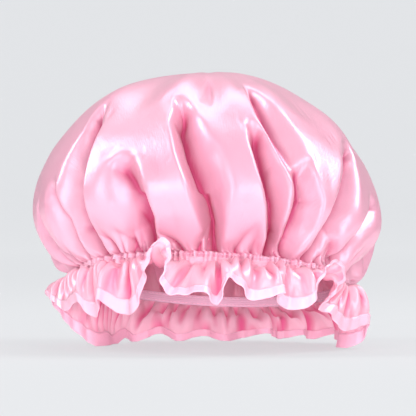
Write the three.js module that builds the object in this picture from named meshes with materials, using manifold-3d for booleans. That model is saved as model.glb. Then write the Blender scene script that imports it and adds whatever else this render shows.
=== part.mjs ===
// A satin shower cap: a puffed crown drawn in by an elastic band, with a hemmed ruffle below it.
// It stands on the back and the sides of its ruffle, leaning back, so that its mouth shows.
//
// Lengths are millimetres. In the cap's own frame the gather line lies in the plane z = 0 with the
// mouth's centre at the origin, +z goes up into the crown, -y is the front and +x the right side
// as seen from the front. An azimuth of 0 is the front and grows towards +x.

import * as THREE from 'three';
import { mergeVertices } from 'three/addons/utils/BufferGeometryUtils.js';
import Module from 'manifold-3d';

// Crown, measured over the crests of its folds
const crown_width = 265;
const crown_depth = 240;
const crown_height = 170;
const belly_height = 52;
const crown_set_back = 30;
const crown_set_left = 11;

// Mouth, measured outside the satin on the gather line
const mouth_width = 206;
const mouth_depth = 172;

// Cloth, film, elastic and the room between two layers
const satin_thickness = 1;
const film_thickness = 0.6;
const elastic_width = 8;
const elastic_thickness = 1;
const elastic_lap = 18;
const sheet_gap = 0.3;

// Ruffle, from the elastic's lower edge to its hem
const ruffle_width = 50;
const hem_width = 7;
const hem_thickness = 2;

// How the cap stands
const lean_back = 14;
const side_lean = 2.6;
const stand_height = 53;
const foot_cut = 0.5;

// Depth of the deepest fold of the crown
const fold_depth = 17;

// Powers of the crown's curves: how fast it swells out over the elastic, how fast a fold deepens
// above it, and how the crown shifts left and back as it rises
const swell_power = 0.35;
const fold_power = 0.55;
const left_power = 0.3;
const back_power = 1.2;

// The crown's valleys, left to right round the cap: azimuth at the gathers, azimuth of the tip,
// height of the tip as a share of the crown, and depth as a share of the deepest fold.
const valley_shares = [
  [-158, -162, 0.52, 0.55],
  [-133, -139, 0.66, 0.70],
  [-109, -114, 0.45, 0.60],
  [-85, -90, 0.60, 0.60],
  [-70, -72, 0.38, 0.55],
  [-54, -48, 0.70, 0.95],
  [-29, -29, 0.42, 0.75],
  [-4, -15, 0.70, 1.00],
  [20, 13, 0.61, 0.90],
  [31, 25, 0.78, 0.60],
  [42, 57, 0.60, 0.75],
  [62, 69, 0.34, 0.55],
  [82, 86, 0.50, 0.60],
  [106, 110, 0.64, 0.70],
  [130, 133, 0.46, 0.60],
  [154, 157, 0.60, 0.65],
  [178, 177, 0.44, 0.60],
];
const columns_per_fold = 4;

// Heights of the crown's rings, as shares of the height between the elastic and the top
const ring_shares = [0.035, 0.115, 0.26, 0.455, 0.655, 0.82, 0.93];

// The hem's waves, left to right round the cap: azimuth, reach outside the mouth and drop below
// the gather line, the last two as shares of the ruffle's width. A wave that stands has no drop
// of its own, because it reaches down to the surface.
const stands = null;
const wave_shares = [
  [-98, 0.56, 0.27],
  [-84, 0.37, 0.50],
  [-75, 0.26, 0.62],
  [-68, 0.24, 0.56],
  [-62, 0.28, 0.48],
  [-59, 0.26, 0.62],
  [-56, 0.20, 0.70],
  [-51, 0.20, 0.70],
  [-46, 0.36, 0.64],
  [-43, 0.06, 0.82],
  [-33, 0.10, 0.88],
  [-27, 0.26, 0.52],
  [-22, 0.54, 0.16],
  [-19, 0.64, -0.10],
  [-16, 0.68, -0.14],
  [-13, 0.76, 0.08],
  [-15, 0.82, 0.42],
  [-16, 0.74, 0.60],
  [-14, 0.62, 0.72],
  [-8, 0.64, 0.72],
  [-3, 0.68, 0.68],
  [2, 0.48, 0.84],
  [5, 0.76, 0.46],
  [9, 0.64, 0.56],
  [13, 0.46, 0.72],
  [19, 0.52, 0.68],
  [24, 0.62, 0.60],
  [24, 0.30, 0.68],
  [31, 0.26, 0.76],
  [37, 0.44, 0.68],
  [42, 0.40, 0.22],
  [44, 0.49, -0.02],
  [50, 0.40, -0.12],
  [56, 0.37, 0.01],
  [57, 0.21, 0.28],
  [53, 0.12, 0.50],
  [50, 0.03, 0.62],
  [57, 0.06, 0.64],
  [71, 0.08, 0.83],
  [92, 0.31, 0.50],
  [97, 0.10, 0.76],
  [101, -0.06, stands],
  [108, -0.04, stands],
  [115, 0.26, 0.70],
  [121, 0.56, 0.50],
  [128, 0.44, 0.60],
  [134, 0.68, 0.44],
  [141, 0.40, 0.54],
  [148, 0.68, 0.40],
  [155, 0.44, 0.50],
  [162, 0.76, 0.34],
  [169, 0.44, 0.48],
  [176, 0.76, stands],
  [184, 0.48, 0.46],
  [191, 0.76, stands],
  [199, 0.48, 0.48],
  [206, 0.76, stands],
  [213, 0.46, 0.58],
  [222, 0.30, 0.76],
  [231, -0.02, stands],
  [240, -0.06, stands],
  [250, 0.34, 0.60],
];

const columns_per_wave = 2;

// A wave is gathered at the mean azimuth of its neighbours, this many to each side.
const gathered_neighbours = 5;

// Rows of the ruffle between the elastic and the hem, as shares of that stretch
const ruffle_row_shares = [0.33, 0.68];

// How far the cloth leaves the elastic outwards before it bends down, as shares
const bow_out_share = 0.6;
const bow_in_share = 0.15;
const bow_down_share = 0.25;

const elastic_columns = 60;

const satin_pink = 0xf7b3d0;
const hem_pink = 0xfbd3e4;
const film_pink = 0xf39cbe;
const elastic_mauve = 0xd9a4be;

const degree = Math.PI / 180;
const mouth_half_width = mouth_width / 2;
const mouth_half_depth = mouth_depth / 2;
const elastic_half = elastic_width / 2;
const half_gap = sheet_gap / 2;

const mix = (a, b, share) => a + (b - a) * share;

// A point at an azimuth, a distance outside the mouth's oval and a height
function atMouth(azimuth, reach, z) {
  const x = (mouth_half_width + reach) * Math.sin(azimuth * degree);
  const y = -(mouth_half_depth + reach) * Math.cos(azimuth * degree);
  return new THREE.Vector3(x, y, z);
}

// Height in the cap's frame of the surface that it stands on, below a point
function surfaceBelow(point) {
  const tilt = lean_back * degree;
  const roll = side_lean * degree;
  const rise = point.y * Math.sin(tilt) + point.x * Math.cos(tilt) * Math.sin(roll);
  return (rise - stand_height) / (Math.cos(tilt) * Math.cos(roll));
}

// Normals of a grid of rings, whose columns close on themselves
function ringNormals(rings) {
  return rings.map((ring, r) => ring.map((_, c) => {
    const next = ring[(c + 1) % ring.length];
    const last = ring[(c + ring.length - 1) % ring.length];
    const above = rings[Math.max(r - 1, 0)][c];
    const below = rings[Math.min(r + 1, rings.length - 1)][c];
    const along = next.clone().sub(last);
    const down = below.clone().sub(above);
    return down.cross(along).normalize();
  }));
}

// The same rings moved along their normals, outwards for a positive distance
function movedRings(rings, normals, distance) {
  return rings.map((ring, r) => ring.map((p, c) => p.clone().addScaledVector(normals[r][c], distance)));
}

// A geometry from points and faces
function solidFrom(points, faces) {
  const geometry = new THREE.BufferGeometry();
  geometry.setAttribute('position', new THREE.Float32BufferAttribute(points.flatMap(p => p.toArray()), 3));
  geometry.setIndex(faces.flat());
  return geometry;
}

// Faces between two rings of points that start at the given indices, both cut along one diagonal
function bandFaces(upper, lower, count, inward) {
  const faces = [];
  for (let c = 0; c < count; c += 1) {
    const d = (c + 1) % count;
    faces.push([upper + c, lower + c, lower + d], [upper + c, lower + d, upper + d]);
  }
  return inward ? faces.map(face => face.reverse()) : faces;
}

// Faces of one layer of rings, which run from its upper to its lower edge
function layerFaces(start, layer, inward) {
  const count = layer[0].length;
  return layer.slice(1).flatMap((_, r) => {
    const upper = start + r * count;
    return bandFaces(upper, upper + count, count, inward);
  });
}

// A closed loop of cloth between an outer and an inner layer
function loopSolid(outer, inner) {
  const count = outer[0].length;
  const start = outer.length * count;
  const faces = [
    ...layerFaces(0, outer, false),
    ...layerFaces(start, inner, true),
    ...bandFaces(start - count, 2 * start - count, count, false),
    ...bandFaces(0, start, count, true),
  ];
  return solidFrom([...outer, ...inner].flat(), faces);
}

// A closed dome of cloth, with a point at the top of each layer
function domeSolid(outer, inner, outerTop, innerTop) {
  const count = outer[0].length;
  const start = outer.length * count;
  const faces = [
    ...layerFaces(0, outer, false),
    ...layerFaces(start, inner, true),
    ...bandFaces(start - count, 2 * start - count, count, false),
  ];
  for (let c = 0; c < count; c += 1) {
    const d = (c + 1) % count;
    faces.push([2 * start, c, d], [2 * start + 1, start + d, start + c]);
  }
  return solidFrom([...outer.flat(), ...inner.flat(), outerTop, innerTop], faces);
}

// Crown: an oval outline that stands out over the mouth, widest at the belly
function crownOval(z) {
  const half_width = crown_width / 2;
  const half_depth = crown_depth / 2;
  if (z >= belly_height) {
    const level = (z - belly_height) / (crown_height - belly_height);
    const share = Math.sqrt(Math.max(1 - level * level, 0));
    return [half_width * share, half_depth * share];
  }
  const level = (belly_height - z) / (belly_height - elastic_half);
  const share = Math.pow(Math.max(1 - level * level, 0), swell_power);
  return [mix(mouth_half_width, half_width, share), mix(mouth_half_depth, half_depth, share)];
}

// Azimuth and depth of valley number i at a height, with the valleys counted round the cap
function valleyAt(i, z) {
  const count = valley_shares.length;
  const [foot, tip, tip_height, depth] = valley_shares[(i + count) % count];
  const climb = (z - elastic_half) / (tip_height * crown_height - elastic_half);
  const turn = 360 * Math.floor(i / count);
  const rise = Math.min(Math.pow(climb, fold_power), 1);
  return [mix(foot, tip, Math.min(climb, 1)) + turn, depth * fold_depth * 4 * rise * (1 - rise)];
}

// A point of the crown's outer face; fold is 0 on the first valley, 0.5 on the crest after it
function crownPoint(fold, z) {
  const i = Math.floor(fold);
  const share = fold - i;
  const [left, left_depth] = valleyAt(i, z);
  const [right, right_depth] = valleyAt(i + 1, z);
  const azimuth = mix(left, right, share) * degree;
  const inset = (share < 0.5 ? left_depth : right_depth) * Math.pow(Math.cos(share * Math.PI), 2);
  const [half_width, half_depth] = crownOval(z);
  const climb = (z - elastic_half) / (crown_height - elastic_half);
  const x = (half_width - inset) * Math.sin(azimuth) - crown_set_left * Math.pow(climb, left_power);
  const y = -(half_depth - inset) * Math.cos(azimuth) + crown_set_back * Math.pow(climb, back_power);
  return new THREE.Vector3(x, y, z);
}

const crown_columns = valley_shares.length * columns_per_fold;
const crown_folds = [...Array(crown_columns).keys()].map(c => c / columns_per_fold);

// Rings of the crown from the top down to the gather line
function crownRings() {
  const heights = ring_shares.map(share => mix(elastic_half, crown_height, share)).reverse();
  const rings = heights.map(z => crown_folds.map(fold => crownPoint(fold, z)));
  for (const z of [elastic_half, half_gap]) {
    rings.push(crown_folds.map(fold => crownPoint(fold, elastic_half).setZ(z)));
  }
  return rings;
}

const crown_rings = crownRings();
const crown_normals = ringNormals(crown_rings);

// Round the elastic the layers stand upright.
for (const normals of crown_normals.slice(-2)) {
  normals.forEach(normal => normal.setZ(0).normalize());
}

const crown_top = new THREE.Vector3(-crown_set_left, crown_set_back, crown_height);

function crownTop(distance) {
  return crown_top.clone().setZ(crown_height + distance);
}

function crownSatin() {
  const inner = movedRings(crown_rings, crown_normals, -satin_thickness);
  return domeSolid(crown_rings, inner, crownTop(0), crownTop(-satin_thickness));
}

// The film lies inside the satin and runs down behind the elastic
function crownFilm() {
  const outside = satin_thickness + sheet_gap;
  const inside = outside + film_thickness;
  const layers = [outside, inside].map(distance => {
    const layer = movedRings(crown_rings, crown_normals, -distance);
    layer[layer.length - 1].forEach(p => p.setZ(half_gap - elastic_half));
    return layer;
  });
  return domeSolid(layers[0], layers[1], crownTop(-outside), crownTop(-inside));
}

// Elastic: one flat band that goes round inside the mouth and laps over its own start
function elasticBand() {
  const inset = satin_thickness + film_thickness + 2 * sheet_gap;
  const around = Math.PI * (mouth_half_width + mouth_half_depth);
  const lap_angle = 360 * elastic_lap / around;
  const lap_columns = Math.ceil(elastic_columns * elastic_lap / around) + 1;
  const angles = [];
  for (let c = 0; c <= elastic_columns; c += 1) {
    angles.push([lap_angle + (360 - lap_angle) * c / elastic_columns, 0]);
  }
  for (let c = 1; c <= lap_columns; c += 1) {
    angles.push([360 + lap_angle * (c + 1) / (lap_columns + 1), elastic_thickness + sheet_gap]);
  }
  const points = angles.flatMap(([azimuth, lift]) => {
    const near = -inset - lift;
    const far = near - elastic_thickness;
    return [[near, elastic_half], [near, -elastic_half], [far, -elastic_half], [far, elastic_half]]
      .map(([reach, z]) => atMouth(azimuth, reach, z));
  });
  const faces = [[0, 2, 1], [0, 3, 2]];
  for (let c = 0; c < angles.length - 1; c += 1) {
    for (let k = 0; k < 4; k += 1) {
      const a = 4 * c + k;
      const b = 4 * c + (k + 1) % 4;
      faces.push([a, b + 4, a + 4], [a, b, b + 4]);
    }
  }
  const last = 4 * (angles.length - 1);
  faces.push([last, last + 1, last + 2], [last, last + 2, last + 3]);
  return solidFrom(points, faces);
}

// Azimuth of a wave, with the waves counted on round the cap
function waveAzimuth(wave) {
  const count = wave_shares.length;
  const turns = Math.floor(wave / count);
  return wave_shares[wave - turns * count][0] + 360 * turns;
}

// Azimuth where a wave is gathered to the elastic: nearer waves weigh more in the mean
function gatherAzimuth(wave) {
  let sum = 0;
  let weight_sum = 0;
  for (let k = -gathered_neighbours; k <= gathered_neighbours; k += 1) {
    const weight = gathered_neighbours + 1 - Math.abs(k);
    sum += weight * waveAzimuth(wave + k);
    weight_sum += weight;
  }
  return sum / weight_sum;
}

// Azimuth where a column of the ruffle is gathered
function columnAzimuth(column) {
  const wave = Math.floor(column / columns_per_wave);
  const share = column / columns_per_wave - wave;
  return mix(gatherAzimuth(wave), gatherAzimuth(wave + 1), share);
}

// The hem's lower edge
const hem_curve = new THREE.CatmullRomCurve3(wave_shares.map(([azimuth, reach, drop]) => {
  const point = atMouth(azimuth, reach * ruffle_width, 0);
  return point.setZ(drop === stands ? surfaceBelow(point) - foot_cut : -drop * ruffle_width);
}), true, 'centripetal');

const ruffle_columns = [...Array(wave_shares.length * columns_per_wave).keys()];

// A point of the ruffle's middle surface: 0 at the elastic's lower edge and 1 at the hem's edge
function rufflePoint(column, share) {
  const azimuth = columnAzimuth(column);
  const start = atMouth(azimuth, -satin_thickness / 2, -elastic_half);
  const end = hem_curve.getPoint(column / ruffle_columns.length);
  const away = end.clone().sub(start);
  const out = atMouth(azimuth, 1, 0).sub(atMouth(azimuth, 0, 0)).normalize();
  const reach = away.dot(out);
  const bow = reach * (reach > 0 ? bow_out_share : bow_in_share);
  const bend = start.clone().addScaledVector(out, bow);
  bend.z += away.z * bow_down_share;
  const curve = new THREE.QuadraticBezierCurve3(start, bend, end);
  return curve.getPoint(share);
}

function ruffleRing(share) {
  return ruffle_columns.map(column => rufflePoint(column, share));
}

// Rows of the middle surface, from the gather line past the start of the hem to its edge
const hem_share = 1 - hem_width / ruffle_width;
const hem_gap_share = (sheet_gap + half_gap) / ruffle_width;
const row_shares = [0, ...ruffle_row_shares.map(share => share * hem_share), hem_share - hem_gap_share];
const hem_row_shares = [hem_share, 1];
const ruffle_rows = [
  ruffleRing(0).map(p => p.setZ(-half_gap)),
  ...[...row_shares, ...hem_row_shares].map(ruffleRing),
];
const row_normals = ringNormals(ruffle_rows);

// A stretch of the ruffle's rows with half its thickness to each side
function ruffleLayers(start, end, thickness) {
  const middle = ruffle_rows.slice(start, end);
  const normals = row_normals.slice(start, end);
  return [thickness / 2, -thickness / 2].map(distance => movedRings(middle, normals, distance));
}

function ruffleSatin() {
  return loopSolid(...ruffleLayers(0, 1 + row_shares.length, satin_thickness));
}

// Hem: the cloth folded double, which is cut flat where it stands
function ruffleHem() {
  return loopSolid(...ruffleLayers(1 + row_shares.length, ruffle_rows.length, hem_thickness));
}

const wasm = await Module();
wasm.setup();

function toManifold(geometry) {
  const plain = geometry.clone();
  plain.deleteAttribute('normal');
  plain.deleteAttribute('uv');
  const merged = mergeVertices(plain);
  return new wasm.Manifold(new wasm.Mesh({
    numProp: 3,
    vertProperties: Float32Array.from(merged.attributes.position.array),
    triVerts: Uint32Array.from(merged.index.array),
  }));
}

function fromManifold(solid) {
  const mesh = solid.getMesh();
  const geometry = new THREE.BufferGeometry();
  geometry.setAttribute('position', new THREE.BufferAttribute(Float32Array.from(mesh.vertProperties), 3));
  geometry.setIndex(Array.from(mesh.triVerts));
  return geometry;
}

// The cap leans back and a little to its right side, with the mouth's centre over the surface.
const cap = new THREE.Group();
cap.rotation.set(-lean_back * degree, side_lean * degree, 0);
cap.position.z = stand_height;
cap.updateMatrix();

// What lies below the surface is taken off the hem.
function cutBySurface(geometry) {
  const slab_width = 2 * (crown_width + ruffle_width);
  const slab_depth = stand_height;
  const slab = new THREE.BoxGeometry(slab_width, slab_width, slab_depth);
  slab.translate(0, 0, -slab_depth / 2);
  slab.applyMatrix4(cap.matrix.clone().invert());
  return fromManifold(toManifold(geometry).subtract(toManifold(slab)));
}

function addPiece(name, geometry, color, roughness) {
  const material = new THREE.MeshStandardMaterial({ color, roughness, metalness: 0 });
  const mesh = new THREE.Mesh(geometry, material);
  mesh.name = name;
  cap.add(mesh);
}

addPiece('crown_satin', crownSatin(), satin_pink, 0.3);
addPiece('crown_film', crownFilm(), film_pink, 0.6);
addPiece('elastic_band', elasticBand(), elastic_mauve, 0.8);
addPiece('ruffle_satin', ruffleSatin(), satin_pink, 0.3);
addPiece('ruffle_hem', cutBySurface(ruffleHem()), hem_pink, 0.3);

// The origin is under the middle of the cap, on the surface.
const group = new THREE.Group();
group.add(cap);
group.updateMatrixWorld(true);
const middle = new THREE.Box3().setFromObject(group, true).getCenter(new THREE.Vector3());
group.position.set(-middle.x, -middle.y, 0);
group.updateMatrixWorld(true);

export default group;
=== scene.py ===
"""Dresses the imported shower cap: pink satin drawn in by an elastic, with a hemmed ruffle.

The cloth is worked out in the cap's own frame, in millimetres, as the solids are: the gather line
lies in the plane z = 0 with the mouth's centre at the origin, z goes up into the crown, -y is the
front and an azimuth of 0 is the front and grows towards +x. to_row() lays it down as it stands.
"""

import math
import random

import bmesh
import bpy
import numpy as np
from mathutils import Euler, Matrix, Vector


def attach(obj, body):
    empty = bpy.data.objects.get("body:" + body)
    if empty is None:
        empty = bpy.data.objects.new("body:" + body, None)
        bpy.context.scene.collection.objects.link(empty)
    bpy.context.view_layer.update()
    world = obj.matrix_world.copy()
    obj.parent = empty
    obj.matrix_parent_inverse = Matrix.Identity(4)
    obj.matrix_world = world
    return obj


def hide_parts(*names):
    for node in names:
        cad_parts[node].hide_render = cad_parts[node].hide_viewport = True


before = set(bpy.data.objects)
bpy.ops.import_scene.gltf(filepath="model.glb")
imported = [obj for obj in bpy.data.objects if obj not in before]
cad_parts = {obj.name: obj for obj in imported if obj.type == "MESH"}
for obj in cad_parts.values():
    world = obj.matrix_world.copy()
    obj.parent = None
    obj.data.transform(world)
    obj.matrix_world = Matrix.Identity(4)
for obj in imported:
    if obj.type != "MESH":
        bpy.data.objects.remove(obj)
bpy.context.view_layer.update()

MM = 0.001

# Sizes, the same as the solids'
crown_width, crown_depth, crown_height = 265, 240, 170
belly_height = 52
crown_set_back, crown_set_left = 30, 11
mouth_width, mouth_depth = 206, 172
elastic_width, elastic_thickness, elastic_lap = 8, 1, 18
satin_thickness, film_thickness = 1, 0.6
ruffle_width, hem_width = 50, 7
stand_height, foot_cut = 53, 0.5
lean_back, side_lean = math.radians(14), math.radians(2.6)
left_power, back_power = 0.3, 1.2
elastic_half = elastic_width / 2
mouth_half = np.array([mouth_width / 2, mouth_depth / 2])
crown_half = np.array([crown_width / 2, crown_depth / 2])
mouth_middle = Vector((4.621, -9.396, stand_height))
lean = Euler((-lean_back, side_lean, 0), "ZYX").to_matrix()

# The cloth rises from the gathers more steeply than the solids do, most of all in front.
swell_power, front_rise, front_reach = 0.42, 0.85, 0.25

# The way round the mouth is a little longer than pi times the sum of its half widths.
ellipse_excess = 1.002
neck_length = math.pi * mouth_half.sum() * ellipse_excess


def to_row(points):
    """Points of the cap's frame, in the row frame and in metres."""
    turned = points @ np.array(lean).T
    return (turned + np.array(mouth_middle)) * MM


# Cloth from grids of points
same_place, no_edge, no_length = 1e-7, 1e-8, 1e-9
grid_half = 0.5


def unit(vectors):
    """Vectors made one long."""
    return vectors / np.maximum(np.linalg.norm(vectors, axis=-1, keepdims=True), no_length)


def grid_normals(points):
    """Normals of rows of points whose columns close on themselves, rows running upwards."""
    along = np.roll(points, -1, 1) - np.roll(points, 1, 1)
    up = np.gradient(points, axis=0)
    return unit(np.cross(along, up))


def cloth(name, points, flat=None, closed_columns=True, closed_rows=False, thickness=0.0):
    """A sheet through rows of points. flat gives each point's place on the uncut cloth, in mm, and
    how deep it lies in its folds, from 0 to 1. A thickness grows from the back of the sheet."""
    rows, columns = points.shape[:2]
    across = columns if closed_columns else columns - 1
    down = rows if closed_rows else rows - 1
    sheet = bmesh.new()
    bmesh.ops.create_grid(sheet, x_segments=across, y_segments=down, size=grid_half)
    placed = to_row(points)
    layer = sheet.verts.layers.float_vector.new("flat_place")
    for vert in sheet.verts:
        c = round((vert.co.x + grid_half) * across) % columns
        r = round((vert.co.y + grid_half) * down) % rows
        if flat is not None:
            vert[layer] = (flat[r, c, 0] * MM, flat[r, c, 1] * MM, flat[r, c, 2])
        vert.co = placed[r, c]
    bmesh.ops.remove_doubles(sheet, verts=sheet.verts, dist=same_place)
    bmesh.ops.dissolve_degenerate(sheet, edges=sheet.edges, dist=no_edge)
    if closed_rows:
        bmesh.ops.recalc_face_normals(sheet, faces=sheet.faces)
    piece = finished(name, sheet)
    if thickness:
        wall = piece.modifiers.new("cloth thickness", "SOLIDIFY")
        wall.thickness = thickness * MM
        wall.offset = -1
    return piece


def finished(name, sheet):
    """An object in the scene from a bmesh, smooth shaded."""
    mesh = bpy.data.meshes.new(name)
    sheet.to_mesh(mesh)
    sheet.free()
    mesh.polygons.foreach_set("use_smooth", [True] * len(mesh.polygons))
    piece = bpy.data.objects.new(name, mesh)
    bpy.context.scene.collection.objects.link(piece)
    return piece


def degrees_past(azimuth, place):
    """Degrees from a place to an azimuth, the short way round."""
    return (azimuth - place + 180) % 360 - 180


def even_rows(values, times):
    """Values evened out from row to row."""
    for _ in range(times):
        padded = np.concatenate([values[:1], values, values[-1:]])
        values = (padded[:-2] + 2 * padded[1:-1] + padded[2:]) / 4
    return values


def even_columns(values, times):
    """Values evened out along columns that close on themselves."""
    for _ in range(times):
        values = (np.roll(values, 1, -1) + 2 * values + np.roll(values, -1, -1)) / 4
    return values


def smooth_rows(values, times):
    """Evens out values along the rows, and along the closed columns half as much."""
    return even_columns(even_rows(values, times), max(times // 2, 1))


def blurred(values, degrees, times):
    """Values evened out over a distance round the cap and a number of rows up it."""
    columns = values.shape[1]
    waves_in = np.exp(-(np.arange(columns // 2 + 1) * math.radians(degrees)) ** 2 / 2)
    return even_rows(np.fft.irfft(np.fft.rfft(values, axis=1) * waves_in, columns, axis=1), times)


def hermite(t):
    """Weights of a curve's start, of how it leaves, of its end and of how it arrives."""
    return 2 * t ** 3 - 3 * t ** 2 + 1, t ** 3 - 2 * t ** 2 + t, 3 * t ** 2 - 2 * t ** 3, t ** 3 - t ** 2


def bow_through(start, bend, end, s):
    """Points at the shares s of a quadratic curve."""
    return (1 - s) ** 2 * start + 2 * s * (1 - s) * bend + s ** 2 * end


# Crown
# Folds seen in front, from the tip down to the gathers. The cloth drops at a crisp ridge and comes
# back slowly. Each row has its height, the azimuth of the ridge, how far the hollow goes from there
# (to the left where negative) and its depth in mm.
front_folds = {
    "far_left": [(60, -61, 0, 0), (50, -58.5, -12, 6), (30, -56, -15, 9), (10, -58, -13, 8),
                 (0, -62, -9, 5)],
    "left": [(122, -46, 0, 0), (102, -40.5, -12, 8), (72, -40.5, -19, 14), (44, -41.5, -22, 15),
             (20, -44, -20, 13), (4, -48, -14, 8)],
    "arch": [(74, -26, 0, 0), (62, -21, -17, 11), (44, -17.5, -24, 15), (25, -15.5, -27, 15),
             (10, -18.5, -24, 12), (0, -22, -15, 7)],
    "middle": [(124, -15, 0, 0), (106, -17.5, 16, 13), (77, -14, 22, 17), (50, -9.5, 20, 18),
               (23, -6.5, 15, 15), (4, -3, 9, 10)],
    "slant": [(142, 17, 0, 0), (126, 15.5, 12, 6), (111, 16.5, 18, 8), (93, 20, 19, 8),
              (74, 24, 15, 7), (57, 28, 8, 4), (42, 31, 4, 0)],
    "right_middle": [(104, 13, 0, 0), (92, 11.5, 10, 10), (71, 13, 14, 14), (47, 16, 14, 14),
                     (26, 18.5, 11, 12), (4, 22, 8, 8)],
    "right_arch": [(79, 38, 0, 0), (69, 40, -12, 9), (48, 42, -16, 12), (25, 40.5, -14, 11),
                   (8, 37, -10, 8), (0, 35, -6, 4)],
    "right": [(105, 62, 0, 0), (88, 52.5, 14, 9), (63, 47, 18, 13), (39, 44, 17, 13),
              (15, 41, 14, 11), (3, 40, 9, 7)],
    "far_right": [(66, 74, 0, 0), (56, 69, 13, 7), (36, 62, 17, 10), (18, 58, 14, 10), (4, 57, 9, 6)],
}

# Folds round the sides and the back, guessed: azimuth at the gathers, azimuth and height of the tip,
# depth, and how far the hollow goes
back_folds = [
    (-160, -165, 92, 11, 18), (-135, -141, 116, 14, -20), (-112, -117, 80, 11, 17),
    (-86, -90, 104, 13, -20), (80, 85, 88, 12, 18), (104, 108, 112, 14, -20),
    (130, 133, 82, 11, 17), (152, 156, 106, 13, -19), (176, 176, 78, 11, 16),
    (-147, -149, 50, 8, 12), (-99, -101, 46, 8, -12), (92, 95, 46, 8, 12),
    (142, 145, 52, 9, -12), (165, 163, 44, 8, 11), (-173, -175, 54, 8, -12),
    (117, 119, 44, 7, 11), (-123, -127, 50, 8, 12), (-73, -76, 50, 8, -11),
]

# Stations down such a fold: shares of its height, of its width and of its depth
fold_stations = [(0.85, 0.65, 0.6), (0.6, 1, 0.95), (0.35, 1, 1), (0.14, 0.8, 0.9), (0.02, 0.5, 0.6)]

# Soft waves of the upper crown: azimuth, lowest and highest height, half width in degrees and depth,
# which is negative where the cloth stands out
soft_folds = [
    (0, 104, 170, 7, 5.0), (10, 96, 172, 7, -3.6), (-13, 118, 172, 8, -3.4), (-30, 92, 168, 9, 4.2),
    (-50, 100, 164, 8, -3.0), (31, 108, 170, 8, -3.4), (46, 96, 160, 9, 4.0), (64, 84, 150, 9, -2.8),
    (84, 90, 158, 11, 2.6), (112, 110, 164, 10, -2.4), (133, 92, 156, 10, 2.6),
    (158, 100, 162, 11, -2.2), (180, 96, 160, 10, 2.8), (-158, 106, 164, 9, -2.2),
    (-130, 94, 156, 11, 2.6), (-104, 98, 160, 10, -2.4), (-78, 90, 154, 10, 2.8),
]

# A fold's crisp wall, in degrees, and the lip at its ridge, in mm
wall_width, wall_share, least_wall, least_spread, wall_power = 5.5, 0.42, 0.05, 0.1, 1.8
lip_height, lip_reach, lip_depth = 1.2, 9, 10
inner_lip_reach = lip_reach / 4
mm_a_degree = 2.1
lean_over, lean_depth, most_lean = 5.5, 12, 1.3

# How a fold opens from its tip, how much deeper all folds are made, and the share of a fold that
# stands out again beside it, spread over this many degrees and rows
tip_width_power, tip_depth_power = 0.4, 2.6
fold_gain = 1.6
swell_back, swell_spread = 0.3, (6.5, 40)

# The crown's line is measured at its side; its rows are crowded low down.
side_azimuth, line_steps, low_crowding = 90.0, 4000, 0.45


def crown_outline(azimuth, z):
    """Half width and half depth of the crown at heights z. In front it rises more steeply."""
    above = np.sqrt(np.clip(1 - ((z - belly_height) / (crown_height - belly_height)) ** 2, 0, 1))
    level = np.clip((belly_height - z) / (belly_height - elastic_half), 0, 1)
    in_front = np.clip(np.cos(np.radians(azimuth)) + front_reach, 0, 1)
    below = (1 - level ** 2) ** (swell_power + front_rise * in_front)
    return np.where(
        (z >= belly_height)[..., None],
        crown_half * above[..., None],
        mouth_half + (crown_half - mouth_half) * below[..., None],
    )


def crown_base(azimuth, z):
    """Points of the crown without its folds."""
    half = crown_outline(azimuth, z)
    climb = np.clip((z - elastic_half) / (crown_height - elastic_half), 0, 1)
    a = np.radians(azimuth)
    return np.stack([
        half[..., 0] * np.sin(a) - crown_set_left * climb ** left_power,
        -half[..., 1] * np.cos(a) + crown_set_back * climb ** back_power,
        z + 0 * a,
    ], -1)


def crown_heights(rows):
    """Heights of the rows from the elastic to the top, closer together low down, and the crown's line:
    how far up it each of its points lies, and its height."""
    half_turn = np.linspace(0, math.pi, line_steps)
    z = elastic_half + (crown_height - elastic_half) * (1 - np.cos(half_turn)) / 2
    line = crown_base(side_azimuth + 0 * z, z)
    run = np.concatenate([[0], np.cumsum(np.linalg.norm(np.diff(line, axis=0), axis=1))])
    share = np.linspace(0, 1, rows)
    share = share * (1 - low_crowding) + low_crowding * share ** 2
    return np.interp(run[-1] * share, run, z), run, z


def fold_rows(foot, tip, height, depth, spread):
    """The rows of a fold at a side or at the back."""
    rows = [(height, tip, 0, 0)]
    for share, wide, deep in fold_stations:
        rows.append((height * share, foot + (tip - foot) * share, spread * wide, depth * deep))
    return rows


def fold_depths(azimuth, z, rows):
    """How far one fold sinks into the crown, and how far its crisp ridge stands out and leans over."""
    heights, ridges, spreads, depths = (np.array(c, float) for c in zip(*rows[::-1]))
    rise = np.clip((heights[-1] - z) / (heights[-1] - heights[-2]), 0, 1)
    near_tip = z > heights[-2]
    side = np.sign(spreads[-2])
    ridge = np.interp(z, heights, ridges)
    tip_spread = spreads[-2] * rise ** tip_width_power
    spread = np.where(near_tip, tip_spread, np.interp(z, heights, spreads)) * side
    tip_depth = depths[-2] * (1 - (1 - rise) ** tip_depth_power)
    depth = np.where(near_tip, tip_depth, np.interp(z, heights, depths))
    into = degrees_past(azimuth, ridge) * side
    wall = np.maximum(np.minimum(wall_width, spread * wall_share), least_wall)
    spread = np.maximum(spread, least_spread)
    drop = 1 - (1 - np.clip(into / wall, 0, 1)) ** wall_power
    back = 1 - np.clip((into - wall) / (spread - wall), 0, 1)
    inside = drop * back ** 3 * (6 * back ** 2 - 15 * back + 10)
    lip = np.exp(-(into * mm_a_degree / np.where(into > 0, inner_lip_reach, lip_reach)) ** 2)
    live = z < heights[-1]
    lean_share = np.clip(depth / lean_depth, 0, most_lean)
    sunk = inside * depth * fold_gain * live
    raised = lip * np.clip(depth / lip_depth, 0, 1) * lip_height * live
    return sunk, raised, side * lean_over * np.exp(-(into / wall_width) ** 2) * lean_share * live


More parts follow.
